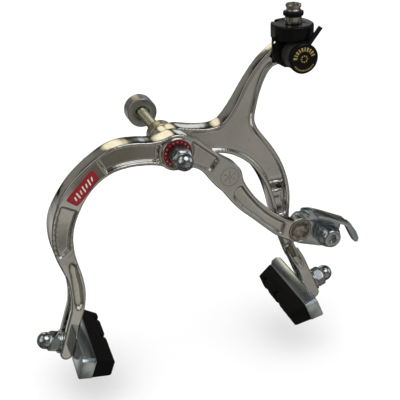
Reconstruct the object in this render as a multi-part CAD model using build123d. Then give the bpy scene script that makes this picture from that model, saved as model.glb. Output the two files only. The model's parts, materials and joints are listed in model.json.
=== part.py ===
from build123d import *
import math
import os

# Side-pull rim brake caliper, long reach, shown spring-open.
# Millimetres. Origin on the centre bolt axis at the mounting face (rear face of
# the spring bridge). +Y runs to the rear into the fork, +X right, +Z up.

BOLT_R = 3.0            # M6 centre bolt
BOLT_REAR = 42.5        # bolt end behind the mounting face
BRIDGE_T = 6.7          # spring bridge thickness
SHIM = 1.0              # rear pivot washer
ARM_T = 11.0            # arm thickness at the pivot
GAP = 0.8               # washer between the arms
DISC_T = 1.5            # dress washer on the front
LOCK_T = 4.4            # lock nut under the domed nut

Y_BRIDGE = -BRIDGE_T
Y_REAR1 = Y_BRIDGE - SHIM               # rear face of the rear arm
Y_REAR0 = Y_REAR1 - ARM_T               # front face of the rear arm
Y_FRONT1 = Y_REAR0 - GAP                # rear face of the front arm
Y_FRONT0 = Y_FRONT1 - ARM_T             # front face of the front arm
Y_DISC0 = Y_FRONT0 - DISC_T

LEG0 = -25.5            # both legs share this depth so the pads line up
LEG1 = -12.5
LEG_MID = -19.0

SLOT_W = 6.4            # pad stud slot
STUD_R = 3.0
L_STUD = (-65.1, -104.6)
R_STUD = (79.2, -100.9)
L_TILT = 18.7           # leg slant from vertical, degrees
R_TILT = -21.5
LEG_HALF = 3.4
RUN = 0.03              # running gap between faces that slide

PAD_Y0 = -42.8
PAD_Y1 = 9.2
PAD_FACE = -(LEG_HALF + RUN)    # back of the holder, just off the leg
HOLDER_T = 7.6
RUBBER_T = 10.0
GROOVES = (-19.5, -3.0)  # water grooves across the rubber
GROOVE_W = 2.0
L_PITCH = 3.2           # the left pad is set nose down on its stud, degrees

EYE = (69.0, -58.4)     # cable anchor pivot on the front arm
ANCHOR = (87.7, -66.5)  # anchor bolt
CAM = (68.8, 39.9)      # quick release cam axis
DRUM_Y = -18.3          # cable line
DRUM_R = 10.5
TONGUE_Y = -20.3        # front face of the stop's tongue
BARREL_R = 3.0
CABLE_R = 1.2           # inner cable's way through the adjuster
SOCKET_R = 2.9          # housing socket in the adjuster's mouth
ACORN_BORE = 7.8        # depth of the thread in a domed nut
DISC_R = 8.4            # dress washer


def pts3(points, y):
    return [(x, y, z) for x, z in points]


def slab(chains, y0, y1):
    """Close the chains of (x, z) points into a face at y0 and run it back to y1."""
    edges = []
    for i, chain in enumerate(chains):
        nxt = chains[(i + 1) % len(chains)]
        if len(chain) > 2:
            edges.append(Spline(*pts3(chain, y0)))
        else:
            edges.append(Line(*pts3(chain, y0)))
        if chain[-1] != nxt[0]:
            edges.append(Line(*pts3([chain[-1], nxt[0]], y0)))
    face = make_face(Curve() + edges)
    return extrude(face, amount=y1 - y0, dir=(0, 1, 0))


def poly_slab(points, y0, y1):
    face = make_face(Polyline(*pts3(points, y0), close=True))
    return extrude(face, amount=y1 - y0, dir=(0, 1, 0))


def depth_line(steps, x):
    """Flats at a depth y joined by smooth S-bends, from the top down.
    steps holds (y, z_top, z_bottom) for each flat."""
    down = (0, 0, -1)
    edges = []
    for i, (y, top, bottom) in enumerate(steps):
        if i:
            before = steps[i - 1]
            edges.append(Spline((x, before[0], before[2]), (x, y, top),
                                tangents=[down, down]))
        edges.append(Line((x, y, top), (x, y, bottom)))
    return edges


def depth_band(front, rear, x0, x1):
    """A solid between a front line and a rear line of flats, run across X."""
    f = depth_line(front, x0)
    r = depth_line(rear, x0)
    ends = [Line(f[0] @ 0, r[0] @ 0), Line(f[-1] @ 1, r[-1] @ 1)]
    face = make_face(Curve() + f + r + ends)
    return extrude(face, amount=x1 - x0, dir=(1, 0, 0))


def cyl_y(x, z, r, y0, y1):
    """A cylinder along Y."""
    body = Cylinder(r, y1 - y0, align=(Align.CENTER, Align.CENTER, Align.MIN))
    return Pos(x, y0, z) * Rot(-90, 0, 0) * body


def ring_y(x, z, r, bore, y0, y1):
    return cyl_y(x, z, r, y0, y1) - cyl_y(x, z, bore, y0 - 1, y1 + 1)


def hex_y(x, z, flats, y0, y1, turn=0):
    face = RegularPolygon(flats / 2, 6, major_radius=False, rotation=turn)
    body = extrude(face, amount=y1 - y0)
    return Pos(x, y0, z) * Rot(-90, 0, 0) * body


# The shared local frame of a leg: u runs out of the leg away from the wheel,
# v runs up the leg, Y is unchanged.
def leg_frame(stud, tilt):
    return Pos(stud[0], LEG_MID, stud[1]) * Rot(0, tilt, 0)


def leg_xz(stud, tilt, side, u, v):
    """The (x, z) of a point u out of and v up a leg; side is 1 right, -1 left."""
    c, s = math.cos(math.radians(tilt)), math.sin(math.radians(tilt))
    return (stud[0] + side * u * c + v * s, stud[1] - side * u * s + v * c)


def left_leg(u, v):
    return leg_xz(L_STUD, L_TILT, -1, u, v)


def right_leg(u, v):
    return leg_xz(R_STUD, R_TILT, 1, u, v)


# ---------------------------------------------------------------- front arm
F_OUT = [(-3, 9.1), (-7, 8.0), (-12.5, 7.6), (-18, 8.4), (-24, 8.9), (-30, 8.5),
         (-35, 7.0), (-40.5, 4.0), (-46.5, 0), (-52, -4.5), (-57, -9.7),
         (-61, -15.5), (-64.1, -22), (-66.1, -29), (-67, -37.5), (-66.6, -45),
         (-65, -52), (-63, -58), (-61.2, -64), (-60.3, -70.5), (-60.4, -76.5),
         left_leg(LEG_HALF, 22)]
F_LEG_O = [left_leg(LEG_HALF, 22), left_leg(LEG_HALF, -4.6)]
F_TIP = [left_leg(LEG_HALF, -4.6), left_leg(2.3, -6.7), left_leg(0, -7.6),
         left_leg(-2.3, -6.7), left_leg(-LEG_HALF, -4.6)]
F_LEG_I = [left_leg(-LEG_HALF, -4.6), left_leg(-LEG_HALF, 19)]
F_IN = [left_leg(-LEG_HALF, 19), (-53.5, -80.5), (-52.6, -75), (-52.4, -69),
        (-53, -63), (-54.3, -56.5),
        (-55.5, -50.5), (-56.1, -43.5), (-55.9, -37), (-54.7, -31), (-52.5, -25),
        (-49, -18.3), (-45, -13), (-40, -8.6), (-35, -5.8), (-30, -4.3),
        (-25, -3.7), (-16, -4.1), (-9, -5.6), (-3, -9.1)]
F_TOP_R = [(3, 9.1), (8.3, 7.1), (14.2, 1.9), (19.2, -2.5), (24.2, -6.9),
           (28.6, -10), (32.4, -12.6), (34.6, -15.6), (35.7, -20.8), (37.6, -25.2),
           (40.8, -30.4), (45, -36), (50, -41.5), (55, -46), (60, -49.6),
           (66, -51.9)]
F_BOT_R = [(66, -64.9), (60, -62), (55.8, -59.4), (51.7, -56), (46.7, -51.3),
           (41.7, -46.4), (35.8, -40.9), (30.8, -35.6), (27.3, -30.8),
           (24, -26.2), (20.4, -22.4), (17.8, -19), (15.2, -15.2), (12, -11.6),
           (8, -9.6), (3, -9.1)]


def front_depth(inset):
    front = [(Y_FRONT0 + inset, 30, -10), (LEG0 + inset, -66, -125)]
    rear = [(Y_FRONT1, 30, -10), (LEG1, -38, -125)]
    return depth_band(front, rear, -80, 0)


def leg_slot(stud, tilt, top):
    """The long hole the pad stud slides in."""
    frame = leg_frame(stud, tilt)
    r = SLOT_W / 2
    tool = Rot(0, 90, 0) * Cylinder(r, 40)
    tool += Pos(0, 0, top) * Rot(0, 90, 0) * Cylinder(r, 40)
    tool += Pos(0, 0, top / 2) * Box(40, SLOT_W, top)
    return frame * tool


def front_arm():
    left = slab([F_OUT, F_LEG_O, F_TIP, F_LEG_I, F_IN], -34, -8) & front_depth(0)
    right = slab([F_TOP_R, F_BOT_R], Y_FRONT0, Y_FRONT1)
    back = make_face(Polyline((24, Y_FRONT1, 0), (36, -21.5, 0), (48, -23.6, 0),
                              (58, -24, 0), (90, -24, 0), (90, 0, 0),
                              (24, 0, 0), close=True))
    right -= Pos(0, 0, -90) * extrude(back, amount=140)
    arm = left + right
    arm += cyl_y(0, 0, 9.6, Y_FRONT0, Y_FRONT1)
    arm += cyl_y(EYE[0], EYE[1], 7.3, Y_FRONT0, -24)

    # pocket beside the pivot, deep and boat shaped
    pocket_a = slab([[(-7, 5.0), (-10.6, 5.6), (-18, 6.8), (-24, 7.3), (-30, 6.9),
                      (-35, 5.5), (-40.2, 2.6)],
                     [(-36.4, -4.8), (-30, -2.6), (-24, -2.0), (-16, -2.3),
                      (-10.6, -3.3), (-7, -4.4)]], -34, -27.2)
    arm -= pocket_a - cyl_y(0, 0, 9.4, -34, -20)

    # long pocket down the outside of the bow
    floor_b = front_depth(2.1)
    pocket_b = slab([[(-60.4, -18.6), (-62.7, -24), (-64.3, -30.5), (-65, -37.5),
                      (-64.8, -44), (-63.8, -49.6)],
                     [(-58.3, -45), (-57.8, -38), (-56.3, -31.5), (-54, -25.5),
                      (-52.9, -22.6)]], -34, -20)
    arm -= pocket_b - floor_b

    # round ended groove on the face of the bend above the slot
    pocket_p = slab([[(-59.2, -60), (-58.9, -68), (-58.8, -75.5), (-58.3, -80),
                      (-56.8, -81.8), (-55.3, -80.4), (-54.4, -75), (-54.6, -67.5),
                      (-55.4, -60.5), (-56.9, -54.6), (-58.3, -53.4),
                      (-59.3, -55.6), (-59.2, -60)]], -34, -20)
    arm -= pocket_p - front_depth(2.3)

    # pockets on the cable side
    pocket_c = poly_slab([(5.4, 7.6), (22.3, -7), (17.8, -12.9), (7, -6.9)],
                         -34, Y_FRONT0 + 1.6)
    pocket_c = fillet(pocket_c.edges().filter_by(Axis.Y), 1.0)
    arm -= pocket_c - cyl_y(0, 0, 9.4, -34, -20)
    pocket_d = slab([[(34.9, -24.8), (36.3, -27.4), (40, -33), (44.4, -38.6),
                      (49.5, -44), (55, -48.6), (59.8, -51.8)],
                     [(57.8, -58.4), (52.8, -54.4), (47.6, -49.8), (42.6, -44.6),
                      (36.8, -39.2), (32.6, -34.2), (30.2, -29.6), (31.3, -26.6),
                      (34.9, -24.8)]], -34, Y_FRONT0 + 1.8)
    arm -= pocket_d
    arm -= cyl_y(EYE[0], EYE[1], 6.5, -34, -27.4)
    arm -= cyl_y(EYE[0], EYE[1], 3.05, -34, -20)
    arm -= cyl_y(0, 0, BOLT_R + 0.05, -34, -10)
    arm -= leg_slot(L_STUD, L_TILT, 29)
    return arm


# ----------------------------------------------------------------- rear arm
R_TOP = [(-4.4, 5.8), (0, 7.5), (4.5, 8.3), (9.4, 7.4), (17.2, 5.8), (24, 5.4),
         (28.6, 6.6), (31.9, 9.4), (35, 13.4), (37.9, 18.2), (41.2, 24.4),
         (45, 30.5), (49.4, 36), (54, 40.4), (58, 43.4), (64.5, 45.8)]
R_SIDE = [(66, 33.6), (61.2, 34.6), (57.4, 33.6), (54.4, 30.4), (51.7, 25),
          (49.4, 18.3), (47.8, 11.7), (47.1, 6.2), (48.4, 2.2), (51.7, -2.8),
          (56.2, -9), (60.6, -16.2), (63.9, -23.4), (66.2, -30.6), (67.5, -37.4),
          (67.9, -44), (67.6, -50.5), (67.5, -56.5), (68.3, -62.5), (70, -68.5),
          (71.8, -74), right_leg(LEG_HALF, 23)]
R_LEG_O = [right_leg(LEG_HALF, 23), right_leg(LEG_HALF, -4.6)]
R_TIP = [right_leg(LEG_HALF, -4.6), right_leg(2.3, -6.7), right_leg(0, -7.6),
         right_leg(-2.3, -6.7), right_leg(-LEG_HALF, -4.6)]
R_LEG_I = [right_leg(-LEG_HALF, -4.6), right_leg(-LEG_HALF, 19)]
R_IN = [right_leg(-LEG_HALF, 19), (66.7, -80), (64, -72.5), (61.4, -64.5),
        (59.2, -56.5), (57.7, -49),
        (56.3, -42), (54.2, -35), (51, -28), (46.5, -21.2), (40.5, -15.4),
        (34, -11.4), (26, -9), (16, -8.2), (7, -7.8), (-2, -7)]


def rear_depth(inset):
    front = [(Y_REAR0 + inset, 60, -58), (LEG0 + inset, -88, -125)]
    rear = [(-10.7, 60, 33), (Y_REAR1, 8, -36), (LEG1, -80, -125)]
    return depth_band(front, rear, -20, 110)


def web_floor():
    """Floor of the big pocket: flat by the pivot, scooped deeper down the bow."""
    floor = Y_REAR0 + 1.7
    front = [(floor, 60, -29), (floor + 3.4, -41, -44), (floor, -56, -62)]
    rear = [(0, 60, -62)]
    return depth_band(front, rear, -20, 110)


def rear_arm():
    arm = slab([R_TOP, R_SIDE, R_LEG_O, R_TIP, R_LEG_I, R_IN], -28, 2)
    arm &= rear_depth(0)
    arm += cyl_y(0, 0, 7.6, Y_REAR0, Y_REAR1)
    arm += cyl_y(CAM[0], CAM[1], 6.4, Y_REAR0, -10.7)
    web = slab([[(12, 4.9), (17.4, 4.2), (24.2, 3.8), (29.4, 5.0), (33.2, 8.2),
                 (36.4, 12.6), (39.3, 17.5), (42.6, 23.6), (46.4, 29.6),
                 (50.6, 34.8), (55, 39), (58.6, 41.6)],
                [(59.6, 36.4), (56.2, 35.2), (52.9, 31.6), (50.1, 25.8),
                 (47.8, 19), (46.1, 12), (45.3, 5.8), (46.6, 1.4), (50.2, -4.2),
                 (54.6, -10.4), (58.9, -17.4), (62.1, -24.2), (64.3, -31),
                 (65.6, -37.6), (66, -44), (65.6, -50)],
                [(65.6, -50), (64.2, -53.2), (62, -53.4), (60.4, -50.6)],
                [(60.4, -50.6), (58.6, -41.6), (56.3, -34.2), (53, -27),
                 (48.2, -19.8), (42, -13.6), (35, -9.6), (27, -7.2), (18, -6.6),
                 (11, -6.4)]],
               -22, -12)
    arm -= (web - web_floor()) - cyl_y(0, 0, 12, -30, 0)
    groove = slab([[(62.6, -65.6), (65.4, -66.4), (67.8, -70.4), (70, -75.6),
                    (72.4, -80.4), (73.4, -83.2), (72.4, -84.8), (70.4, -84),
                    (68, -80), (65.4, -74.4), (63.2, -69), (62.6, -65.6)]],
                  -30, -12)
    arm -= groove - rear_depth(2.1)
    arm -= cyl_y(0, 0, BOLT_R + 0.05, -30, 0)
    arm -= cyl_y(CAM[0], CAM[1], 4.05, -30, 0)
    arm -= leg_slot(R_STUD, R_TILT, 29)
    return arm


# ------------------------------------------------------------- centre stack
def centre_bolt():
    bolt = cyl_y(0, 0, BOLT_R, Y_DISC0 - LOCK_T - ACORN_BORE + 0.2, BOLT_REAR)
    return chamfer(bolt.edges().group_by(Axis.Y)[-1], 0.6)


def spring_bridge():
    body = ring_y(0, 0, 7.3, BOLT_R, Y_BRIDGE, 0)
    body = chamfer(body.faces().sort_by(Axis.Y)[0].outer_wire().edges(), 0.6)
    body -= cyl_y(-4.9, 2.6, 0.7, Y_BRIDGE - 1, Y_BRIDGE + 3)
    # cross hole under the bolt for the return spring
    body -= Pos(0, -3.4, -5.2) * Rot(0, 90, 0) * Cylinder(1.06, 30)
    return body


def acorn_nut_local():
    """M6 domed nut standing on z = 0, dome up."""
    nut = extrude(RegularPolygon(5.1, 6, major_radius=False), amount=5.4)
    cone = Cone(8.6, 2.0, 9.0, align=(Align.CENTER, Align.CENTER, Align.MIN))
    skirt = Cylinder(5.75, 2, align=(Align.CENTER, Align.CENTER, Align.MIN))
    nut = nut & (Pos(0, 0, -1.6) * cone + skirt)
    dome = Cylinder(4.6, 6.4, align=(Align.CENTER, Align.CENTER, Align.MIN))
    dome += Pos(0, 0, 6.4) * Sphere(4.6)
    nut += dome
    bore = Cylinder(STUD_R, ACORN_BORE, align=(Align.CENTER, Align.CENTER, Align.MIN))
    return nut - bore


def rear_nut():
    """Round barrel nut behind the fork, with a plain recess round the bolt."""
    nut = ring_y(0, 0, 8.5, BOLT_R, 33.5, 44)
    nut = fillet(nut.faces().sort_by(Axis.Y)[-1].outer_wire().edges(), 1.6)
    nut = chamfer(nut.faces().sort_by(Axis.Y)[0].outer_wire().edges(), 0.4)
    nut -= cyl_y(0, 0, 4.1, 30, 35.2)
    return nut


# --------------------------------------------------------------- brake pads
# Pad section in the leg frame of a right-hand leg: n runs to the wheel (-u).
def pad_prism(points, y0, y1):
    face = make_face(Polyline(*[(u, y0 - LEG_MID, v) for u, v in points],
                              close=True))
    return extrude(face, amount=y1 - y0, dir=(0, 1, 0))


def pad_rubber_local():
    base = PAD_FACE - HOLDER_T
    t = RUBBER_T
    sec = [(base + 1.5, 4.4), (base, 4.4), (base, 5.5), (base - t + 0.6, 5.8),
           (base - t, 5.2), (base - t, -2.8), (base - t + 0.8, -3.6),
           (base, -5.5), (base, -4.4), (base + 1.5, -4.4)]
    body = pad_prism(sec, PAD_Y0 + 0.4, 7.4)
    for y in GROOVES:
        body -= Pos(base - t, y - LEG_MID, 0) * Rot(0, 0, 45) * Box(3.6, 3.6, 20)
        body -= Pos(base - t, y - LEG_MID, 0) * Box(6.4, GROOVE_W, 20)
    # the rear end is one slanting face, from the holder's edge down to the rim side
    nose = Pos(base - 8.63, 11.98 - LEG_MID, 0) * Rot(0, 0, 27) * Box(34, 16, 20)
    return body - nose


def pad_holder_local():
    back = PAD_FACE
    base = back - HOLDER_T
    sec = [(base, 5.7), (back - 0.7, 6.8), (back, 6.1), (back, -6.1),
           (back - 0.7, -6.8), (base, -5.7)]
    body = pad_prism(sec, PAD_Y0, PAD_Y1)
    rear = PAD_Y1 - LEG_MID
    for u, turn in ((back + 0.7, 38), (base - 0.7, -38)):
        body -= Pos(u, rear, 0) * Rot(0, 0, turn) * Box(4.6, 8, 20)
    front = PAD_Y0 - LEG_MID
    body -= Pos(back - 1, front - 3.6, 6.9) * Rot(26, 0, 0) * Box(20, 8, 8)
    channel = [(base - 1, 4.4), (base + 1.5, 4.4), (base + 1.5, -4.4),
               (base - 1, -4.4)]
    body -= pad_prism(channel, PAD_Y0 + 0.4, 7.4)
    body -= Pos(base + 3, 0, 0) * Rot(0, 90, 0) * Cylinder(
        STUD_R, 20, align=(Align.CENTER, Align.CENTER, Align.MIN))
    return body


def pad_stud_local():
    """Threaded stud: head buried in the holder, shank out through the slot."""
    base = PAD_FACE - HOLDER_T
    body = Pos(base + 3, 0, 0) * Rot(0, 90, 0) * Cylinder(
        STUD_R, 19.0, align=(Align.CENTER, Align.CENTER, Align.MIN))
    return body


def pad_washer_local(start, r, t):
    ring = Cylinder(r, t, align=(Align.CENTER, Align.CENTER, Align.MIN))
    ring -= Cylinder(STUD_R + RUN, t * 3)
    return Pos(start, 0, 0) * Rot(0, 90, 0) * ring


def place(local, side, pitch=0):
    """Put a leg-frame shape on the right leg, or mirrored on the left leg."""
    if side == "right":
        return leg_frame(R_STUD, R_TILT) * local
    turned = Rot(pitch, 0, 0) * mirror(local, about=Plane.YZ)
    return leg_frame(L_STUD, L_TILT) * turned


# ------------------------------------------------------------- cable anchor
def anchor_plate():
    outline = [(62.6, -56.2), (63.4, -62.2), (67, -67.6), (71.5, -70.2),
               (84.6, -74.6), (89.8, -75), (94.6, -71.4), (96.6, -66),
               (97.8, -60.8), (84.6, -54), (76.4, -50.8), (69.4, -50.2)]
    body = poly_slab(outline, -24 + RUN, -22.2)
    body = fillet(body.edges().filter_by(Axis.Y), 1.2)
    # top flange bent toward the front along the upper edge
    top = [(72.4, -50.4), (76.2, -50.6), (84.8, -54.2), (97.8, -60.6),
           (98.5, -59.1), (85.6, -52.7), (76.8, -48.8), (72.8, -48.8)]
    flange = poly_slab(top, -33, -22.2)
    body += flange
    # cable slot in the flange
    body -= Pos(76.2, -29.8, -50) * Rot(0, 12, 0) * Box(5.0, 7.2, 9)
    # finger bent down at the end
    finger = [(96.6, -60.4), (97.6, -58.6), (99.4, -59.4), (103.4, -65.6),
              (105.2, -70.2), (104.6, -72.4), (102.8, -72.2), (101, -69),
              (98.6, -64)]
    body += poly_slab(finger, -31.4, -27)
    body -= cyl_y(EYE[0], EYE[1], 3.05, -40, -10)
    body -= cyl_y(ANCHOR[0], ANCHOR[1], 2.55, -40, -10)
    return body


def anchor_rivet():
    body = cyl_y(EYE[0], EYE[1], 3.0, -27.4, -21.0)
    body += cyl_y(EYE[0], EYE[1], 6.3, -30.3, -27.4)
    body += cyl_y(EYE[0], EYE[1], 4.6, -22.1, -20.9)
    body -= Pos(EYE[0], -30.3 - 7.4, EYE[1]) * Sphere(9.3)
    return body


def anchor_bolt():
    x, z = ANCHOR
    body = cyl_y(x, z, 2.5, -28, -16.4)
    body += cyl_y(x, z, 6.6, -29.6, -27.8)
    body += Pos(x, -29.6, z) * Rot(90, 0, 0) * Cone(
        6.6, 4.9, 3.8, align=(Align.CENTER, Align.CENTER, Align.MIN))
    return body - hex_y(x, z, 4.2, -34, -30.6, 10)


# ------------------------------------------------------------ quick release
def housing_stop():
    """Drum for the cable adjuster with a tongue hanging over the arm's end."""
    x = CAM[0]
    drum = Pos(x, DRUM_Y, 48.0) * extrude(Circle(DRUM_R), amount=7.2)
    drum += Pos(x, DRUM_Y + 2.6, 48.0) * extrude(Circle(DRUM_R), amount=7.2)
    drum += Pos(x, DRUM_Y + 1.3, 51.6) * Box(2 * DRUM_R, 2.6, 7.2)
    drum = fillet(drum.edges().group_by(Axis.Z)[-1], 0.9)
    tongue = poly_slab([(x - 12.2, 41.5), (x - 11.5, 38.4), (x - 9.4, 35.6),
                        (x - 5.6, 33.2), (x, 32.4), (x + 5, 33.2), (x + 8.2, 35.6),
                        (x + 9.4, 40), (x + 9.4, 49.5), (x - 12.2, 49.5)],
                       TONGUE_Y, TONGUE_Y + 1.5)
    tongue = fillet(tongue.edges().filter_by(Axis.Y).group_by(Axis.Z)[-1][0], 1.6)
    body = drum + tongue
    # cable notch in the rim, behind and to the left
    body -= Pos(x - 6.8, DRUM_Y + 9.6, 55) * Rot(0, 0, 35) * Box(4.2, 6, 5)
    body -= Pos(x, DRUM_Y, 40) * Cylinder(BARREL_R + 0.05, 40)
    body -= cyl_y(CAM[0], CAM[1], 4.06, -30, -10)
    body -= cyl_y(x - 10.9, 46.8, 0.8, -30, -10)
    return body


def cam_barrel():
    x, z = CAM
    body = cyl_y(x, z, 7.5, -28.75, TONGUE_Y - RUN)
    body += cyl_y(x, z, 3.5, -30.2, -28.0)
    body += cyl_y(x, z, 4.0, -21.0, -8.6)
    return body


def cam_cap():
    x, z = CAM
    body = cyl_y(x, z, 7.8, -32, -30.2)
    return chamfer(body.edges().group_by(Axis.Y)[0], 0.5)


def qr_lever():
    x, z = CAM
    y0, y1 = -30.15, -28.75
    hub = ring_y(x, z, 7.5, 3.5, y0, y1)
    arm = poly_slab([(69.6, 44.9), (71.2, 43.6), (79.6, 53.9), (77.9, 55.2)], y0, y1)
    return hub + arm - cyl_y(x, z, 3.5, -32, -20)


def cam_clip():
    """Retaining ring on the cam pin behind the arm."""
    return ring_y(CAM[0], CAM[1], 6.2, 4.0, -10.4, -9.0)


# --------------------------------------------------------------- adjuster
def barrel_adjuster():
    x = CAM[0]
    low = (Align.CENTER, Align.CENTER, Align.MIN)
    body = Pos(x, DRUM_Y, 48.6) * Cylinder(BARREL_R, 8.0, align=low)
    body += Pos(x, DRUM_Y, 55.3) * Cylinder(4.3, 3.9, align=low)
    body += Pos(x, DRUM_Y, 59.2) * Cylinder(4.0, 6.0, align=low)
    body -= Pos(x, DRUM_Y, 40) * Cylinder(CABLE_R, 60, align=low)
    body -= Pos(x, DRUM_Y, 57) * Cylinder(SOCKET_R, 20, align=low)
    return body


def lock_ring():
    x = CAM[0]
    low = (Align.CENTER, Align.CENTER, Align.MIN)
    body = Pos(x, DRUM_Y, 59.2) * Cylinder(5.3, 2.3, align=low)
    body = fillet(body.edges(), 0.5)
    return body - Pos(x, DRUM_Y, 50) * Cylinder(4.0, 20, align=low)


# ------------------------------------------------------------ return spring
def spring_wire(side, path):
    """Round wire: straight through the bridge, then a smooth bend to its lug."""
    inner = (side * 0.02, -3.4, -5.2)
    outer = (side * 8.2, -3.4, -5.2)
    bend = Spline(outer, *path, tangents=[(side, 0, 0), (side, 0, -0.2)])
    rail = Wire([Line(inner, outer), bend])
    start = Plane(origin=inner, z_dir=(side, 0, 0))
    return sweep(start * Circle(1.0), path=rail)


def spring_left():
    return spring_wire(-1, [(-14, -5.0, -5.0), (-22, -8.2, -4.8),
                            (-32, -11.6, -5.8), (-43, -13.4, -8.6)])


def spring_right():
    return spring_wire(1, [(18, -3.8, -4.8), (28, -4.3, -4.4), (37, -4.7, -5.0)])


def spring_lug_left():
    return cyl_y(-42.6, -4.5, 2.2, -20.4, -10.6)


def spring_lug_right():
    return cyl_y(35.6, -0.5, 2.2, -8.6, -2.6)


# ------------------------------------------------------------------- build
def at_y(local, x, z, y, front=True):
    """Stand a local +Z shape on a Y plane, facing the front or the rear."""
    turn = 90 if front else -90
    return Pos(x, y, z) * Rot(turn, 0, 0) * local


def main():
    os.makedirs("parts", exist_ok=True)
    parts = {}
    parts["front_arm"] = front_arm() + spring_lug_left()
    parts["rear_arm"] = rear_arm() + spring_lug_right()
    parts["centre_bolt"] = centre_bolt()
    parts["spring_bridge"] = spring_bridge()
    parts["rear_shim"] = ring_y(0, 0, 7.0, BOLT_R, Y_REAR1 + RUN, Y_BRIDGE)
    parts["arm_spacer"] = ring_y(0, 0, 7.2, BOLT_R, Y_FRONT1 + RUN, Y_REAR0 - RUN)
    parts["dress_washer"] = ring_y(0, 0, DISC_R, BOLT_R, Y_DISC0, Y_FRONT0 - RUN)
    y_lock = Y_DISC0 - LOCK_T
    parts["lock_nut"] = hex_y(0, 0, 10.4, y_lock, Y_DISC0, 12)
    parts["lock_nut"] -= cyl_y(0, 0, BOLT_R, -40, 0)
    acorn = acorn_nut_local()
    parts["pivot_acorn_nut"] = at_y(Rot(0, 0, 20) * acorn, 0, 0, y_lock)
    parts["rear_nut"] = rear_nut()

    # nuts turn on the studs, so each bore runs a little clear
    nut_u = LEG_HALF + RUN + 1.8
    nut = Pos(nut_u, 0, 0) * Rot(0, 90, 0) * Rot(0, 0, 18) * acorn
    nut -= Pos(nut_u, 0, 0) * Rot(0, 90, 0) * Cylinder(STUD_R + RUN, 2 * ACORN_BORE)
    for side in ("left", "right"):
        parts[side + "_pad_rubber"] = place(pad_rubber_local(), side, L_PITCH)
        parts[side + "_pad_holder"] = place(pad_holder_local(), side, L_PITCH)
        parts[side + "_pad_stud"] = place(pad_stud_local(), side)
        parts[side + "_cup_washer"] = place(
            pad_washer_local(LEG_HALF + RUN, 6.4, 1.0), side)
        parts[side + "_plain_washer"] = place(
            pad_washer_local(LEG_HALF + RUN + 1.0, 5.6, 0.8), side)
        parts[side + "_acorn_nut"] = place(nut, side)

    x, z = ANCHOR
    parts["anchor_plate"] = anchor_plate()
    parts["anchor_rivet"] = anchor_rivet()
    parts["anchor_bolt"] = anchor_bolt()
    parts["anchor_washer"] = ring_y(x, z, 7.0, 2.5, -27.8, -24.0 + RUN)
    parts["anchor_nut"] = hex_y(x, z, 8.0, -22.2, -18.2) - cyl_y(x, z, 2.5, -30, 0)

    parts["housing_stop"] = housing_stop()
    parts["cam_barrel"] = cam_barrel()
    parts["cam_cap"] = cam_cap()
    parts["qr_lever"] = qr_lever()
    parts["cam_clip"] = cam_clip()
    parts["barrel_adjuster"] = barrel_adjuster()
    parts["lock_ring"] = lock_ring()
    parts["spring_left"] = spring_left()
    parts["spring_right"] = spring_right()

    for name, shape in parts.items():
        solids = shape.solids()
        box = shape.bounding_box()
        print(name, len(solids), [round(v, 1) for v in (*box.min, *box.max)])
        export_step(shape, "parts/" + name + ".step")


main()
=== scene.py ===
# %% [markdown]
# A side-pull rim brake caliper: two polished forged arms on one centre bolt, with zinc plated
# nuts, pressed pad holders and a black quick-release stop. The measured model is loaded first
# as a fixed frame, so that every later piece can be placed in the same metres. The box it
# fills is kept.

# %% Load the measured frame
import json
import math

import bmesh
import bpy
import numpy as np
from mathutils import Matrix, Vector


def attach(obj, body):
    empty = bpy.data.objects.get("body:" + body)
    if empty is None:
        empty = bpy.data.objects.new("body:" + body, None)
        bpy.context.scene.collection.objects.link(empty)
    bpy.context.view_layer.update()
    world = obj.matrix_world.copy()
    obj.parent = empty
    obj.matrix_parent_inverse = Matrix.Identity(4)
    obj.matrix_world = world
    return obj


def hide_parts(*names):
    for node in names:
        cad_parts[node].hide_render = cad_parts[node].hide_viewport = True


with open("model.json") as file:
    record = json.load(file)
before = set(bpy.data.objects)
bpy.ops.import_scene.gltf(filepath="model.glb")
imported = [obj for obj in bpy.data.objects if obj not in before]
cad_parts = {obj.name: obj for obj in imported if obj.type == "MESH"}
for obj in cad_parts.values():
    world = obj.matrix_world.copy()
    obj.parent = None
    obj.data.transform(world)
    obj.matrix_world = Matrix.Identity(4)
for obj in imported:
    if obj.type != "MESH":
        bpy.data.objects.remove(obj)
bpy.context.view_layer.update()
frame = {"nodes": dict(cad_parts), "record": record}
NODES = frame["nodes"]
MM = 0.001

# %% [markdown]
# The camera stands in front, to the left and a little above, with a long lens, so the arms
# are seen almost flat and the bolt runs away to the upper left. Three axes at right angles
# make the camera's matrix; building it directly is surer than turning by angles.

# %% Camera
def look(place, forward, right, lens):
    """Camera matrix columns are right, up and backwards; up is right x forward."""
    f = Vector(forward).normalized()
    u = Vector(right).cross(f).normalized()
    r = f.cross(u)
    data = bpy.data.cameras.new("camera")
    data.lens, data.sensor_width, data.clip_start = lens, 36, 0.01
    camera = bpy.data.objects.new("camera", data)
    bpy.context.scene.collection.objects.link(camera)
    camera.matrix_world = Matrix.Translation(place) @ Matrix((r, u, -f)).transposed().to_4x4()
    bpy.context.scene.camera = camera
    return camera


PLACE = (-0.1121, -0.4082, 0.1648)   # metres
FORWARD = (0.279, 0.855, -0.437)
RIGHT = (0.944, -0.327, -0.037)
LENS = 76.5                          # millimetres, on a 36 mm sensor
camera = look(PLACE, FORWARD, RIGHT, LENS)
bpy.context.scene.view_settings.view_transform = "Standard"
print("camera at", [round(v, 3) for v in camera.matrix_world.translation])

# %% [markdown]
# Polished metal shows the room and not itself, so most of its look comes from the world.
# This room is a dim warm grey with soft lamps: a cream one high at the back that lights the
# top of the bow, a white one overhead that draws the bright edges, paler walls left and right,
# and faint glows low in front for the flat faces. Each lamp is a soft disc round a direction,
# so its edge never shows as a line. The last has a negative colour: it takes light away and
# leaves a dark patch. The room is seen by mirror rays only; everything else sees white paper.

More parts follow.
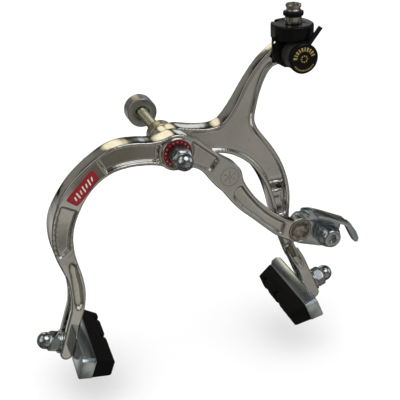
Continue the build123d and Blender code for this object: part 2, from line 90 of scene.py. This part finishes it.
# %% Room
LAMPS = [  # direction, full inside degrees, gone outside degrees, colour
    ((0.02, 0.90, 0.42), 6, 15, (1.05, 0.96, 0.68)),
    ((0.25, -0.40, 0.88), 14, 30, (1.55, 1.58, 1.60)),
    ((0.42, 0.86, 0.24), 2, 9, (0.75, 0.78, 0.80)),
    ((-0.20, 0.84, -0.48), 5, 14, (0.20, 0.20, 0.19)),
    ((-0.44, 0.84, -0.32), 6, 14, (0.34, 0.35, 0.35)),
    ((0.95, -0.10, 0.30), 8, 26, (0.60, 0.66, 0.70)),
    ((-0.90, -0.20, 0.45), 8, 28, (0.70, 0.74, 0.75)),
    ((-0.55, 0.20, 0.80), 6, 20, (0.80, 0.80, 0.78)),
    ((0.28, -0.86, -0.43), 16, 44, (0.125, 0.121, 0.110)),
    ((0.36, -0.84, -0.40), 3, 11, (0.125, 0.120, 0.112)),
    ((0.10, -0.84, -0.57), 3, 10, (0.070, 0.070, 0.065)),
    ((0.199, -0.906, -0.385), 1, 6, (-0.110, -0.112, -0.112)),
]


def wire(tree, kind, **inputs):
    """Add a node; plain values set its sockets and sockets are linked to it."""
    node = tree.nodes.new(kind)
    for key, value in inputs.items():
        key = int(key[1:]) if key[0] == "i" and key[1:].isdigit() else key.replace("_", " ")
        if isinstance(value, bpy.types.NodeSocket):
            tree.links.new(value, node.inputs[key])
        else:
            node.inputs[key].default_value = value
    return node


world = bpy.data.worlds.new("room")
bpy.context.scene.world = world
world.use_nodes = True
tree = world.node_tree
tree.nodes.clear()
DIM, GREY = (0.008, 0.007, 0.006, 1), (0.200, 0.192, 0.172, 1)   # the room's own two tones
PAPER = 1.08                                                     # strength of the white
ray = tree.nodes.new("ShaderNodeTexCoord").outputs["Generated"]
patches = wire(tree, "ShaderNodeTexNoise", Vector=ray, Scale=3.0, Detail=1.5, Roughness=0.5)
tone = wire(tree, "ShaderNodeValToRGB", Fac=patches.outputs["Fac"])
tone.color_ramp.elements[0].position, tone.color_ramp.elements[1].position = 0.42, 0.62
tone.color_ramp.elements[0].color = DIM
tone.color_ramp.elements[1].color = GREY
total = tone.outputs["Color"]
for direction, inner, outer, colour in LAMPS:
    to = tuple(Vector(direction).normalized())
    dot = wire(tree, "ShaderNodeVectorMath", i0=ray, i1=to)
    dot.operation = "DOT_PRODUCT"
    soft = wire(tree, "ShaderNodeMapRange", Value=dot.outputs["Value"],
                From_Min=math.cos(math.radians(outer)), From_Max=math.cos(math.radians(inner)))
    soft.interpolation_type = "SMOOTHSTEP"
    lamp = wire(tree, "ShaderNodeVectorMath", i0=colour, i3=soft.outputs["Result"])
    lamp.operation = "SCALE"
    add = wire(tree, "ShaderNodeVectorMath", i0=total, i1=lamp.outputs["Vector"])
    add.operation = "ADD"
    total = add.outputs["Vector"]
mirror = tree.nodes.new("ShaderNodeLightPath").outputs["Is Glossy Ray"]
room = wire(tree, "ShaderNodeBackground", Color=total, Strength=1.0)
paper = wire(tree, "ShaderNodeBackground", Color=(1, 1, 1, 1), Strength=PAPER)
both = wire(tree, "ShaderNodeMixShader", i0=mirror, i1=paper.outputs[0], i2=room.outputs[0])
wire(tree, "ShaderNodeOutputWorld", Surface=both.outputs[0])
print("lamps in the room", len(LAMPS))

# %% [markdown]
# The floor is plain white card lit by one wide soft sun. Real polished metal over white card
# would mirror the card and turn pale all over, so the floor is hidden from mirror rays.

# %% Floor and soft sun
FLOOR_Z, REACH = -0.135, 12.0   # metres
CARD = 0.96                     # how white the card is
sun_data = bpy.data.lights.new("soft_sun", "SUN")
sun_data.energy, sun_data.angle = 0.45, math.radians(60)
sun = bpy.data.objects.new("soft_sun", sun_data)
bpy.context.scene.collection.objects.link(sun)
sun.rotation_euler = (math.radians(28), math.radians(-14), 0)
sun.visible_glossy = False

floor_mesh = bpy.data.meshes.new("floor")
floor_mesh.from_pydata([(-REACH, -REACH, FLOOR_Z), (REACH, -REACH, FLOOR_Z),
                        (REACH, REACH, FLOOR_Z), (-REACH, REACH, FLOOR_Z)], [], [(0, 1, 2, 3)])
floor = bpy.data.objects.new("floor", floor_mesh)
bpy.context.scene.collection.objects.link(floor)
floor.visible_glossy = False
card = bpy.data.materials.new("white_card")
card.use_nodes = True
card_shader = card.node_tree.nodes["Principled BSDF"]
card_shader.inputs["Base Color"].default_value = (CARD, CARD, CARD, 1)
card_shader.inputs["Roughness"].default_value = 1.0
floor_mesh.materials.append(card)
print("floor at", round(FLOOR_Z / MM), "mm")

# %% [markdown]
# Every finish is built from the same few ideas: a cloudy change of colour a centimetre or so
# across, a fine grain that changes the gloss, and a small bump. Patterns read Object
# coordinates, which are the real metres of the part, so one scale number means one real size.

# %% Building a finish
SPECK_SIZE, RIPPLE_SIZE = 0.9, 9.0   # millimetres
CROWN_BEND = 9.0                     # a crowned face falls by this times distance squared


def cloud(tree, coords, size, detail=3.0, stretch=(1, 1, 1)):
    """Noise whose features are about size millimetres; stretch lengthens them on an axis."""
    grow = wire(tree, "ShaderNodeMapping", Vector=coords, Scale=tuple(1 / s for s in stretch))
    return wire(tree, "ShaderNodeTexNoise", Vector=grow.outputs[0], Scale=1000 / size / 2,
                Detail=detail, Roughness=0.55).outputs["Fac"]


def spread(tree, value, low, high, a=0.3, b=0.7):
    """Carry a noise value from the range a..b to the range low..high."""
    return wire(tree, "ShaderNodeMapRange", Value=value, From_Min=a, From_Max=b,
                To_Min=low, To_Max=high).outputs["Result"]


def blend_colour(tree, factor, one, two):
    """Mix two colours by a value."""
    node = tree.nodes.new("ShaderNodeMix")
    node.data_type = "RGBA"
    tree.links.new(factor, node.inputs[0])
    for socket, colour in ((node.inputs[6], one), (node.inputs[7], two)):
        if isinstance(colour, bpy.types.NodeSocket):
            tree.links.new(colour, socket)
        else:
            socket.default_value = (*colour, 1)
    return node.outputs[2]


def finish(name, pale, deep, gloss, metallic=1.0, patch=14.0, grain=0.35, bump=0.000004,
           wave=0.0, stretch=(1, 1, 1), specks=0.0, speck_colour=(0.1, 0.1, 0.1), shine=0.5,
           crown=None):
    """pale..deep is the colour, gloss the low and high roughness, patch and grain sizes in
    millimetres, bump the height of the grain in metres and wave that of slow ripples. specks
    is how strong the dull dots of speck_colour are and shine the specular level. crown is the
    depth in metres where a forged side face stands proudest; it needs wave."""
    material = bpy.data.materials.new(name)
    material.use_nodes = True
    tree = material.node_tree
    shader = tree.nodes["Principled BSDF"]
    coords = tree.nodes.new("ShaderNodeTexCoord").outputs["Object"]
    clouds = cloud(tree, coords, patch)
    fine = cloud(tree, coords, grain, 4.0, stretch)
    colour = blend_colour(tree, spread(tree, clouds, 0, 1), pale, deep)
    if specks:
        dots = cloud(tree, coords, SPECK_SIZE, 2.0)
        mask = spread(tree, dots, 0, specks, 0.60, 0.72)
        colour = blend_colour(tree, mask, colour, speck_colour)
    tree.links.new(colour, shader.inputs["Base Color"])
    shader.inputs["Metallic"].default_value = metallic
    shader.inputs["Specular IOR Level"].default_value = shine
    mixed = wire(tree, "ShaderNodeMath", i0=spread(tree, clouds, gloss[0], gloss[1]),
                 i1=spread(tree, fine, -0.25 * gloss[0], 0.25 * gloss[0]))
    tree.links.new(mixed.outputs[0], shader.inputs["Roughness"])
    push = wire(tree, "ShaderNodeBump", Height=fine, Distance=bump, Strength=1.0)
    if wave:
        slow = cloud(tree, coords, RIPPLE_SIZE, 1.0)
        under = wire(tree, "ShaderNodeBump", Height=slow, Distance=wave, Strength=1.0)
        tree.links.new(under.outputs[0], push.inputs["Normal"])
        if crown is not None:
            depth = wire(tree, "ShaderNodeSeparateXYZ", Vector=coords).outputs["Y"]
            off = wire(tree, "ShaderNodeMath", i0=depth, i1=-crown)
            square = wire(tree, "ShaderNodeMath", i0=off.outputs[0], i1=off.outputs[0])
            square.operation = "MULTIPLY"
            fall = wire(tree, "ShaderNodeMath", i0=square.outputs[0], i1=-CROWN_BEND)
            fall.operation = "MULTIPLY"
            first = wire(tree, "ShaderNodeBump", Height=fall.outputs[0], Distance=1.0,
                         Strength=1.0)
            tree.links.new(first.outputs[0], under.inputs["Normal"])
    tree.links.new(push.outputs[0], shader.inputs["Normal"])
    return material


# %% [markdown]
# The forged arms are buffed aluminium: nearly a mirror, a little warm, with slow ripples left
# by the buffing wheel that bend every reflection, and hair lines that break the gloss.

# %% The finishes
def polished(name, crown):
    """Buffed aluminium whose side faces are crowned about the depth crown, in metres."""
    return finish("polished_" + name, (0.82, 0.805, 0.77), (0.70, 0.685, 0.65), (0.05, 0.12),
                  wave=0.00012, bump=0.0000025, grain=0.5, specks=0.3,
                  speck_colour=(0.42, 0.40, 0.36), crown=crown)


FINISHES = {
    "polished_aluminium": polished("front", -0.0250),
    "yellow_zinc": finish("yellow_zinc", (0.56, 0.52, 0.34), (0.40, 0.40, 0.30), (0.28, 0.42),
                          patch=3, specks=0.5, speck_colour=(0.22, 0.19, 0.12)),
    "bearing_brass": finish("bearing_brass", (0.66, 0.50, 0.24), (0.50, 0.38, 0.20),
                            (0.25, 0.4), patch=3),
    "red_anodised": finish("red_anodised", (0.24, 0.008, 0.014), (0.15, 0.005, 0.010),
                           (0.30, 0.42), metallic=0.35, patch=4),
    "dark_steel": finish("dark_steel", (0.20, 0.20, 0.20), (0.12, 0.12, 0.12), (0.28, 0.40),
                         patch=3),
    "bright_zinc": finish("bright_zinc", (0.66, 0.71, 0.73), (0.50, 0.55, 0.57), (0.09, 0.18),
                          patch=4, grain=0.25, specks=0.35, speck_colour=(0.35, 0.38, 0.40)),
    "satin_steel": finish("satin_steel", (0.56, 0.55, 0.53), (0.44, 0.43, 0.41), (0.30, 0.42),
                          patch=4, grain=0.3, bump=0.000008),
    "zinc_sheet": finish("zinc_sheet", (0.74, 0.82, 0.85), (0.58, 0.66, 0.69), (0.14, 0.24),
                         patch=5, grain=0.3, bump=0.000005, specks=0.3,
                         speck_colour=(0.40, 0.44, 0.45)),
    "polished_rivet": finish("polished_rivet", (0.62, 0.57, 0.50), (0.48, 0.43, 0.37),
                             (0.14, 0.26), patch=3),
    "black_moulding": finish("black_moulding", (0.0010, 0.0010, 0.0012), (0.002, 0.002, 0.002),
                             (0.26, 0.38), metallic=0, patch=6, bump=0.000004, shine=0.22),
    "dark_moulding": finish("dark_moulding", (0.022, 0.022, 0.020), (0.034, 0.033, 0.028),
                            (0.32, 0.44), metallic=0.2, patch=4, bump=0.000006),
    "black_lever": finish("black_lever", (0.002, 0.002, 0.002), (0.004, 0.004, 0.004),
                          (0.28, 0.4), metallic=0, patch=5, shine=0.35),
    "bright_plating": finish("bright_plating", (0.68, 0.65, 0.60), (0.52, 0.49, 0.44),
                             (0.14, 0.24), patch=3, grain=0.3),
    "spring_steel": finish("spring_steel", (0.48, 0.48, 0.47), (0.36, 0.36, 0.35),
                           (0.25, 0.38), patch=3),
    "pad_rubber": finish("pad_rubber", (0.0012, 0.0012, 0.0014), (0.003, 0.003, 0.003),
                         (0.55, 0.75), metallic=0, patch=5, grain=0.4, bump=0.00003, shine=0.15),
}
REAR_POLISH = polished("rear", -0.0132)
print("finishes", len(FINISHES))

# %% [markdown]
# A drawn part has razor edges, and no real one does: forging, tumbling and plating all leave
# a small round that catches the light. The measured pieces keep their mesh and only get
# modifiers: Weld joins the loose triangles, Decimate joins flat ones into single faces, and
# Bevel rounds every edge sharper than thirty degrees by the size each process leaves.

# %% Round the edges of the small nodes
ROUNDS = {"anchor_plate": 0.22, "housing_stop": 0.25, "left_pad_holder": 0.6,
          "right_pad_holder": 0.6, "left_pad_rubber": 0.5, "right_pad_rubber": 0.5,
          "rear_nut": 0.25}


def soften(node, radius):
    """Weld, flatten and bevel a measured node without touching its mesh."""
    part = NODES[node]
    part.data.polygons.foreach_set("use_smooth", np.ones(len(part.data.polygons), bool))
    weld = part.modifiers.new("weld", "WELD")
    weld.merge_threshold = 0.000002
    flat = part.modifiers.new("flat", "DECIMATE")
    flat.decimate_type, flat.angle_limit = "DISSOLVE", math.radians(0.6)
    edge = part.modifiers.new("edge", "BEVEL")
    edge.width, edge.segments = radius * MM, 3
    edge.limit_method, edge.angle_limit = "ANGLE", math.radians(30)
    edge.harden_normals = True
    edge.miter_outer = "MITER_ARC"
    return part


for entry in frame["record"]["subparts"]:
    name, slot = entry["node"], entry["material_slot"]
    part = NODES[name] if name.endswith("_arm") else soften(name, ROUNDS.get(name, 0.12))
    part.data.materials.clear()
    part.data.materials.append(FINISHES[slot])
print("rounded", len(ROUNDS), "nodes by their own size")

# %% [markdown]
# The arms need more care. A forging has no edge at all: its rims are full rounds and its
# pockets run into their floors in wide fillets, everywhere at once. Rounding edge by edge
# breaks down where many edges meet, so the copy of each arm is wrapped in an even net of
# small squares, and the net is relaxed a few times. Relaxing pulls corners in and leaves
# flats where they are, as tumbling and buffing do.

# %% Forged arms with full rounds
def forged(node, body, material, net=0.42, relax=7):
    """A merged copy, an even net of squares net millimetres wide over it, relaxed by moving
    every point half way to the mean of its neighbours, relax times."""
    shape = bmesh.new()
    shape.from_mesh(NODES[node].data)
    bmesh.ops.remove_doubles(shape, verts=shape.verts, dist=0.000002)
    mesh = bpy.data.meshes.new(node + "_forged")
    shape.to_mesh(mesh)
    shape.free()
    mesh.materials.clear()
    mesh.materials.append(material)
    piece = bpy.data.objects.new(node + "_forged", mesh)
    bpy.context.scene.collection.objects.link(piece)
    wrap = piece.modifiers.new("net", "REMESH")
    wrap.mode, wrap.voxel_size, wrap.use_smooth_shade = "VOXEL", net * MM, True
    ease = piece.modifiers.new("relax", "SMOOTH")
    ease.factor, ease.iterations = 0.5, relax
    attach(piece, body)
    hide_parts(node)
    return piece


forged("front_arm", "front", FINISHES["polished_aluminium"])
forged("rear_arm", "rear", REAR_POLISH)
print("two arms wrapped and relaxed")

# %% [markdown]
# The turned and threaded pieces give hardware its character. Each is a surface of two
# parameters: one runs round or across, the other along. A grid of points becomes a skin of
# quads; a ring of points squeezed to one place closes a pole.

# %% A skin over a grid of points
def skin(name, points, finish_name, body, round_u=False, round_v=False, sharp=32):
    """points[u, v] is in millimetres; quads join neighbours, and round_u or round_v joins the
    last row or column back to the first. Poles are merged, then normals turned outward."""
    nu, nv = points.shape[:2]
    index = np.arange(nu * nv).reshape(nu, nv)
    a = index if round_u else index[:-1]
    b = np.roll(index, -1, 0) if round_u else index[1:]
    if round_v:
        quads = np.stack([a, b, np.roll(b, -1, 1), np.roll(a, -1, 1)], -1)
    else:
        quads = np.stack([a[:, :-1], b[:, :-1], b[:, 1:], a[:, 1:]], -1)
    mesh = bpy.data.meshes.new(name)
    mesh.from_pydata((points.reshape(-1, 3) * MM).tolist(), [], quads.reshape(-1, 4).tolist())
    shape = bmesh.new()
    shape.from_mesh(mesh)
    bmesh.ops.remove_doubles(shape, verts=shape.verts, dist=1e-7)
    bmesh.ops.dissolve_degenerate(shape, edges=shape.edges, dist=1e-7)
    bmesh.ops.recalc_face_normals(shape, faces=shape.faces)
    shape.to_mesh(mesh)
    shape.free()
    mesh.polygons.foreach_set("use_smooth", np.ones(len(mesh.polygons), bool))
    mesh.set_sharp_from_angle(angle=math.radians(sharp))
    piece = bpy.data.objects.new(name, mesh)
    bpy.context.scene.collection.objects.link(piece)
    mesh.materials.append(FINISHES[finish_name])
    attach(piece, body)
    return piece


def stand(x, y, h, origin, axis, up):
    """Carry local x, y across and h along onto an axis: origin + x(up cross axis) + y up
    + h axis, all in millimetres."""
    axis, up = np.array(axis, float), np.array(up, float)
    side = np.cross(up, axis)
    return (np.array(origin, float) + x[..., None] * side + y[..., None] * up
            + h[..., None] * axis)


def turned(profile, origin, axis, up=(0, 0, 1), steps=72, shape=None):
    """A lathe shape: the profile's (radius, height) points carried round the axis, with
    x = r cos t and y = r sin t. shape(r, h, t) may change the radius round the turn."""
    r, h = np.array(profile, float).T
    t = np.linspace(0, 2 * np.pi, steps, endpoint=False)
    r, h, t = np.broadcast_arrays(r[:, None], h[:, None], t[None, :])
    if shape:
        r = shape(r, h, t)
    return stand(r * np.cos(t), r * np.sin(t), h, origin, axis, up)


FRONT, UP = (0, -1, 0), (0, 0, 1)
print("a skin takes a grid of points and makes a closed mesh")

# %% [markdown]
# The centre bolt is threaded end to end, one turn each millimetre. A thread is a cylinder
# whose radius depends on how far round and how far along it is: the two are tied together by
# the pitch, so the ridge climbs as it turns. Rounded ridges catch light as a real rolled
# thread does.

# %% Threaded rods
def thread(length, radius, pitch=1.0, depth=0.42, taper=0.7, steps=24, per_turn=9):
    """Radius = R - depth (1 + cos(2 pi (h / pitch) - t)) / 2, cut down by taper over taper
    millimetres at both ends, and points x = r cos t, y = r sin t, h."""
    h = np.linspace(0, length, int(length / pitch * per_turn) + 1)
    t = np.linspace(0, 2 * np.pi, steps, endpoint=False)
    hh, tt = np.meshgrid(h, t, indexing="ij")
    r = radius - depth * (1 + np.cos(2 * np.pi * hh / pitch - tt)) / 2
    ends = np.clip(np.minimum(hh, length - hh) / taper, 0, 1)
    r = np.minimum(r, radius - taper + taper * ends)
    pole = np.zeros((1, steps))
    r = np.concatenate([pole, r, pole])
    hh = np.concatenate([pole, hh, pole + length])
    tt = np.concatenate([tt[:1], tt, tt[:1]])
    return r * np.cos(tt), r * np.sin(tt), hh


def frame_of(side):
    """The outward and upward directions and the stud's place of each leg."""
    tilt = math.radians({"left": 18.7, "right": -21.5}[side])
    hand = {"left": -1, "right": 1}[side]
    out = (hand * math.cos(tilt), 0, -hand * math.sin(tilt))
    place = {"left": (-65.1, -19.0, -104.6), "right": (79.2, -19.0, -100.9)}[side]
    return np.array(out), np.array((math.sin(tilt), 0, math.cos(tilt))), np.array(place)


BOLT_FRONT, BACK = (0, -44, 0), (0, 1, 0)
bolt = skin("bolt_thread", stand(*thread(86.5, 3.0), BOLT_FRONT, BACK, UP),
            "yellow_zinc", "centre", round_v=True, sharp=60)
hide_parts("centre_bolt")
for side in ("left", "right"):
    out, along, place = frame_of(side)
    stud = skin(side + "_stud_thread", stand(*thread(19.0, 2.99), place - 8.03 * out, out, along),
                "bright_zinc", side + "_pad", round_v=True, sharp=60)
    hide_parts(side + "_pad_stud")
print("bolt faces", len(bolt.data.polygons))

# %% [markdown]
# A domed nut is a hexagon, a cone and a dome at once. The hexagon's radius at an angle is the
# apothem over the cosine of the angle from the flat's middle; the cone trims the corners into
# the bright curved chamfers that every turned nut has; a waist and a half sphere follow.

# %% Domed nuts
APOTHEM, DOME_R, DOME_H = 5.1, 4.6, 6.4   # half across flats, dome's radius and its foot
HEX_TOP = 5.0


def domed_nut(origin, axis, up, turn):
    """r = min(hexagon(t), cone(h)) up to the waist, then a cylinder and a quarter circle."""
    hex_h = np.array([0, 0, 0.25, 0.6, 1.2, 2.0, 2.8, 3.4, 3.8, 4.1, 4.35, 4.6, 4.8, 4.95])
    hex_r = np.array([0, 5.5, 9, 9, 9, 9, 9, 9, 9, 9, 9, 9, 9, 9])
    q = np.linspace(0, np.pi / 2, 15)
    waist = [(DOME_R, 5.05), (4.50, 5.2), (4.55, 5.5), (DOME_R, 5.8), (DOME_R, 6.2)]
    dome = list(zip(DOME_R * np.cos(q), DOME_H + DOME_R * np.sin(q)))
    profile = list(zip(hex_r, hex_h)) + waist + dome

    def hexagon(r, h, t):
        corner = (t + math.radians(turn)) % (np.pi / 3) - np.pi / 6
        flat = APOTHEM / np.cos(corner)
        cone = np.minimum(5.85 - (h - 3.9) * 1.2, 5.5 + h * 1.4)
        return np.where(h < HEX_TOP, np.minimum(r, np.minimum(flat, cone)), r)

    return turned(profile, origin, axis, up, 96, hexagon)


nut = skin("pivot_dome_nut", domed_nut((0, -36.4, 0), FRONT, UP, 10), "bright_zinc", "centre",
           round_v=True)
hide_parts("pivot_acorn_nut")
for side in ("left", "right"):
    out, along, place = frame_of(side)
    nut = skin(side + "_dome_nut", domed_nut(place + 5.23 * out, out, along, 18),
               "bright_zinc", side + "_fixing", round_v=True)
    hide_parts(side + "_acorn_nut")
print("nut faces", len(nut.data.polygons))

# %% [markdown]
# The cable is pinched by a socket head bolt: a round head that tapers to its end, with a six
# sided socket. It is one lathe shape whose inner wall is trimmed to a hexagon.

# %% Cable clamp bolt
KEY, MOUTH_R, SOCKET_FLOOR = 2.2, 2.65, 29.9   # half across the key, mouth radius, floor


def socket_bolt():
    """Profile (radius, height) from the tail to the head; inside the head the radius is
    min(r, KEY / cos(angle from the flat's middle))."""
    profile = [(0, 16.4), (2.2, 16.4), (2.5, 16.8), (2.5, 27.75), (6.3, 27.8), (6.6, 28.05),
               (6.6, 29.3), (6.45, 29.8), (6.1, 30.6), (5.8, 31.3), (5.4, 32.3),
               (5.15, 32.9), (4.85, 33.25), (4.4, 33.4), (2.75, 33.38), (2.6, 33.2),
               (2.6, 30.6), (1.2, 30.1), (0, 30.0)]

    def socket(r, h, t):
        corner = (t + 0.2) % (np.pi / 3) - np.pi / 6
        wall = (r < MOUTH_R) & (h > SOCKET_FLOOR)
        return np.where(wall, np.minimum(r, KEY / np.cos(corner)), r)

    return turned(profile, (87.7, 0, -66.5), FRONT, UP, 96, socket)


clamp = skin("clamp_socket_bolt", socket_bolt(), "bright_zinc", "anchor", round_v=True)
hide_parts("anchor_bolt")
print("clamp bolt faces", len(clamp.data.polygons))

# %% [markdown]
# The dress washer is a thin turned dish: a bright lip round a red sunken face, printed with a
# ring of small pale dashes. The lip and the face are two lathe shapes, so that each has its
# own finish.

# %% Dress washer
def loop(r0, r1, h0, h1, c=0.15):
    """A ring's section with its four corners cut by c, as (radius, height) points."""
    return [(r0, h0 + c), (r0 + c, h0), (r1 - c, h0), (r1, h0 + c), (r1, h1 - c),
            (r1 - c, h1), (r0 + c, h1), (r0, h1 - c)]


WASHER_FOOT = (0, -30.55, 0)
face = skin("washer_red_face", turned(loop(3.0, 7.5, 0, 1.25, 0.08), WASHER_FOOT, FRONT),
            "red_anodised", "centre", round_u=True, round_v=True)
lip = skin("washer_bright_lip", turned(loop(7.25, 8.4, 0, 1.47, 0.3), WASHER_FOOT, FRONT),
           "bright_plating", "centre", round_u=True, round_v=True)
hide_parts("dress_washer")
print("washer made of", face.name, lip.name)

# %% [markdown]
# Printed and engraved marks are thin raised strips a few hundredths of a millimetre high, so
# that they are real geometry and survive an export. They are plain dashes and bars: no
# lettering and no maker's sign.

# %% Printed marks
FINISHES["pale_print"] = finish("pale_print", (0.62, 0.57, 0.50), (0.42, 0.36, 0.31),
                                (0.45, 0.6), metallic=0, patch=1.5)
FINISHES["faded_print"] = finish("faded_print", (0.36, 0.22, 0.20), (0.30, 0.10, 0.10),
                                 (0.45, 0.6), metallic=0, patch=0.8)
FINISHES["gold_print"] = finish("gold_print", (0.60, 0.46, 0.14), (0.34, 0.26, 0.09),
                                (0.35, 0.5), metallic=0.6, patch=1.2)
FINISHES["etched_line"] = finish("etched_line", (0.16, 0.15, 0.14), (0.24, 0.23, 0.21),
                                 (0.4, 0.55), metallic=0.8, patch=1.5)


def dash(r0, r1, middle, width, h0, h1, steps=5):
    """A bar bent round a centre: radius r0..r1, angle middle -+ width / 2 in degrees, height
    h0..h1; a full turn of 360 makes a ring. Both ends close on the section's middle."""
    t = np.radians(np.linspace(middle - width / 2, middle + width / 2, steps))
    section = np.array([(r0, h0), (r1, h0), (r1, h1), (r0, h1)], float)
    r = np.repeat(section[:, 0][:, None], steps, 1)
    h = np.repeat(section[:, 1][:, None], steps, 1)
    core = ((r0 + r1) / 2, (h0 + h1) / 2)
    r = np.concatenate([np.full((4, 1), core[0]), r, np.full((4, 1), core[0])], 1)
    h = np.concatenate([np.full((4, 1), core[1]), h, np.full((4, 1), core[1])], 1)
    t = np.concatenate([t[:1], t, t[-1:]])[None, :]
    return r * np.cos(t), r * np.sin(t), h


def marks(name, dashes, origin, finish_name, body):
    """One mesh of many dashes, joined."""
    made = [skin(name + "_part", stand(*d, origin, FRONT, UP), finish_name, body, round_u=True)
            for d in dashes]
    joined = bmesh.new()
    for piece in made:
        joined.from_mesh(piece.data)
        bpy.data.objects.remove(piece)
    mesh = bpy.data.meshes.new(name)
    joined.to_mesh(mesh)
    joined.free()
    mesh.materials.append(FINISHES[finish_name])
    piece = bpy.data.objects.new(name, mesh)
    bpy.context.scene.collection.objects.link(piece)
    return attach(piece, body)


WASHER_TOP, CAP_TOP, ARM_LAND = (0, -31.78, 0), (68.8, -31.98, 39.9), (28.0, -30.49, -18.2)
ring = marks("washer_dashes", [dash(5.95, 6.75, a, 6.5 if k % 3 else 3.0, 0, 0.04)
                               for k, a in enumerate(np.arange(8, 368, 20.0))],
             WASHER_TOP, "faded_print", "centre")
cap_marks = ([dash(3.9, 6.0, a, 11 if k % 2 else 7, 0, 0.05)
              for k, a in enumerate(np.linspace(18, 172, 10))]
             + [dash(5.6, 6.4, a, 4.0, 0, 0.05) for a in np.linspace(215, 325, 14)]
             + [dash(1.25, 1.95, a, 24, 0, 0.05) for a in np.arange(0, 360, 45.0)])
cap = marks("cap_gold_bars", cap_marks, CAP_TOP, "gold_print", "cam")
marks("arm_etched_ring", [dash(4.95, 5.2, 180, 360, 0, 0.04, 49)]
      + [dash(1.3, 3.6, a, 6, 0, 0.04) for a in np.arange(30, 390, 60.0)]
      + [dash(0.75, 1.0, 180, 360, 0, 0.04, 25)],
      ARM_LAND, "etched_line", "front")
print("dashes", len(ring.data.polygons), len(cap.data.polygons))

# %% [markdown]
# The red badge is a thin domed shell stuck on the bow's land. A square grid is squeezed into
# a shape with round corners by shortening each side where the other runs out, and laid over
# the four corners of the land; its depth follows the arm's own face.

# %% Red badge
CORNERS = np.array([(-43.6, -0.9), (-40.1, -6.5), (-52.5, -19.8), (-58.3, -15.2)])   # x, z
CORNER_ROUNDING = 0.10
BAR_PITCH, BAR_HALF_WIDTH, BAR_REACH = 0.22, 0.045, 0.62   # shares of the badge's half size
arm_points = np.array([v.co for v in NODES["front_arm"].data.vertices]) / MM
near = arm_points[arm_points[:, 0] < -30]
LEVELS = np.linspace(-24, 2, 14)
close = np.abs(near[None, :, 2] - LEVELS[:, None]) < 1.6
FACE = np.where(close, near[None, :, 1], 0.0).min(1)   # the foremost depth at each height
print("face depth", FACE.round(2).tolist())


def land(s, t, lift):
    """Point of the land at s along and t across, both -1..1: bilinear in the four corners
    after the rounding s' = s sqrt(1 - k t^6), t' = t sqrt(1 - 2 k s^6), lifted off the arm."""
    k = CORNER_ROUNDING
    s, t = s * np.sqrt(1 - k * t ** 6), t * np.sqrt(1 - 2 * k * s ** 6)
    s, t = (s + 1) / 2, (t + 1) / 2
    a, b, c, d = CORNERS
    flat = ((1 - s) * (1 - t))[..., None] * a + ((1 - s) * t)[..., None] * b \
        + (s * t)[..., None] * c + (s * (1 - t))[..., None] * d
    depth = np.interp(flat[..., 1], LEVELS, FACE)
    return np.stack([flat[..., 0], depth - lift, flat[..., 1]], -1)


def panel(name, s0, s1, t0, t1, low, high, finish_name, lean=0.0, grid=(41, 21)):
    """A closed crowned slab on the land between s0..s1 and t0..t1; lean slants its ends."""
    s, t = np.meshgrid(np.linspace(0, 1, grid[0]), np.linspace(0, 1, grid[1]), indexing="ij")
    crown = (1 - (2 * s - 1) ** 12) * (1 - (2 * t - 1) ** 12)
    across = t0 + (t1 - t0) * t
    along = s0 + (s1 - s0) * s + lean * (t - 0.5)
    top = land(along, across, low + (high - low) * crown)
    return skin(name, np.concatenate([top, land(along, across, low - 0.15)[::-1]]),
                finish_name, "front", round_u=True)


FINISHES["red_badge"] = finish("red_badge", (0.24, 0.005, 0.010), (0.17, 0.003, 0.006),
                               (0.22, 0.34), metallic=0, patch=5, bump=0.000004)
badge = panel("badge_shell", -1, 1, -1, 1, 0.0, 0.35, "red_badge")
for k, length in enumerate((0.5, 0.8, 0.5, 0.8, 0.5, 0.8, 0.5)):
    place = BAR_PITCH * (k - 3)
    panel("badge_bar_%d" % k, place - BAR_HALF_WIDTH, place + BAR_HALF_WIDTH,
          -BAR_REACH * length, BAR_REACH * length, 0.34, 0.40, "pale_print", 0.10, (7, 9))
print("badge faces", len(badge.data.polygons))

# %% [markdown]
# The barrel adjuster is a hollow turned screw with bright lips, and its black lock ring has
# finger scallops. The scallops are one cosine laid over the radius as the profile turns.

# %% Adjuster and lock ring
# radius and height in millimetres, outside upwards and back down the bore
ADJUSTER = [(1.3, 48.7), (2.95, 48.7), (2.95, 55.3), (4.0, 55.3), (4.3, 55.6), (4.3, 58.8),
            (4.05, 59.1), (3.6, 59.2), (3.6, 61.4), (3.85, 61.6), (3.85, 62.1), (3.55, 62.4),
            (3.55, 63.2), (3.95, 63.6), (4.0, 63.9), (4.0, 64.7), (3.8, 65.1), (3.4, 65.2),
            (3.0, 65.0), (2.9, 64.7), (2.9, 57.1), (1.3, 56.6)]
axis_place = (68.8, -18.3, 0)
screw = skin("adjuster_screw", turned(ADJUSTER, axis_place, (0, 0, 1), (0, 1, 0)),
             "bright_plating", "adjuster", round_u=True, round_v=True)
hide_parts("barrel_adjuster")
q = np.linspace(0, 2 * np.pi, 29)[:-1]
section = np.stack([4.5 + 0.8 * np.sign(np.cos(q)) * np.abs(np.cos(q)) ** 0.6,
                    60.35 + 1.13 * np.sign(np.sin(q)) * np.abs(np.sin(q)) ** 0.6], -1)


def scallop(r, h, t):
    """r shrinks by up to 0.4 mm twelve times a turn, on the outside only."""
    return r - 0.4 * (r > 4.5) * (0.5 + 0.5 * np.cos(12 * t)) ** 2


locker = skin("lock_ring_scalloped",
              turned(section, axis_place, (0, 0, 1), (0, 1, 0), 144, scallop),
              "black_moulding", "adjuster", round_u=True, round_v=True, sharp=60)
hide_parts("lock_ring")
